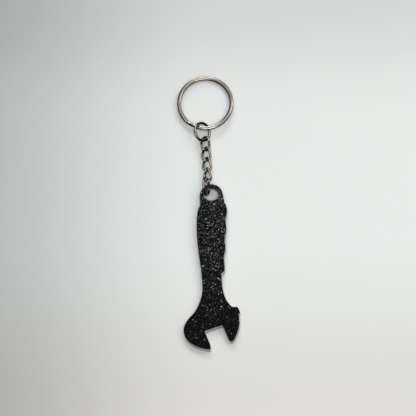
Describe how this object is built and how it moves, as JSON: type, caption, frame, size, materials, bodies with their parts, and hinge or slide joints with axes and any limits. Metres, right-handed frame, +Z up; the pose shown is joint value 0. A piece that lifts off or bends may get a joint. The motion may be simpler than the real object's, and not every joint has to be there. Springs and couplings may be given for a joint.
{
  "type": "keychain bottle opener",
  "caption": "Flat wrench-shaped bottle opener with textured black faces, on a short curb chain with a split key ring.",
  "frame": {"origin": "bottom centre of the bounding box, on the plane that the whole thing lies on", "axes": "+Y from the opener's jaws along the chain to the split ring, +Z up out of the plane it lies on"},
  "size_m": [0.0282, 0.1258, 0.0089],
  "materials": {
    "bare_steel": "bare cut edge, satin",
    "black_facing": "black sheet with fine silver glitter and a pebbled surface",
    "nickel_plate": "bright nickel plating with a warm tint"
  },
  "bodies": {
    "opener": {"opener_plate": "bare_steel", "front_facing": "black_facing", "back_facing": "black_facing"},
    "bail_ring": {"bail_ring": "nickel_plate"},
    "chain_link_1": {"chain_link_1": "nickel_plate"},
    "chain_link_2": {"chain_link_2": "nickel_plate"},
    "chain_link_3": {"chain_link_3": "nickel_plate"},
    "chain_link_4": {"chain_link_4": "nickel_plate"},
    "connector_ring": {"connector_ring": "nickel_plate"},
    "split_ring": {"split_ring": "nickel_plate"}
  },
  "joints": [
    {"name": "bail_ring_hinge", "type": "hinge", "parent": "opener", "child": "bail_ring", "pos_m": [-0.00058, 0.01081, 0.00337], "axis": [0.8829, 0.4693, 0.0119], "range_deg": [-90, 90]},
    {"name": "chain_link_1_hinge", "type": "hinge", "parent": "bail_ring", "child": "chain_link_1", "pos_m": [-0.00048, 0.01521, 0.00302], "axis": [-0.24, 0.3746, 0.8956], "range_deg": [-45, 90]},
    {"name": "chain_link_2_hinge", "type": "hinge", "parent": "chain_link_1", "child": "chain_link_2", "pos_m": [-0.00058, 0.01885, 0.0031], "axis": [0.9395, 0.0358, -0.3407], "range_deg": [-45, 90]},
    {"name": "chain_link_3_hinge", "type": "hinge", "parent": "chain_link_2", "child": "chain_link_3", "pos_m": [-0.00101, 0.02491, 0.00257], "axis": [0.4318, 0.1087, 0.8954], "range_deg": [-45, 70]},
    {"name": "chain_link_4_hinge", "type": "hinge", "parent": "chain_link_3", "child": "chain_link_4", "pos_m": [-0.00121, 0.0285, 0.00231], "axis": [0.7421, 0.0402, -0.669], "range_deg": [-45, 80]},
    {"name": "connector_ring_hinge", "type": "hinge", "parent": "chain_link_4", "child": "connector_ring", "pos_m": [-0.00112, 0.03349, 0.00173], "axis": [0.6647, 0.537, -0.5193], "range_deg": [-20, 90]},
    {"name": "split_ring_hinge", "type": "hinge", "parent": "connector_ring", "child": "split_ring", "pos_m": [-0.00271, 0.03861, 0.00299], "axis": [1, 0, 0], "range_deg": [-45, 45]}
  ]
}
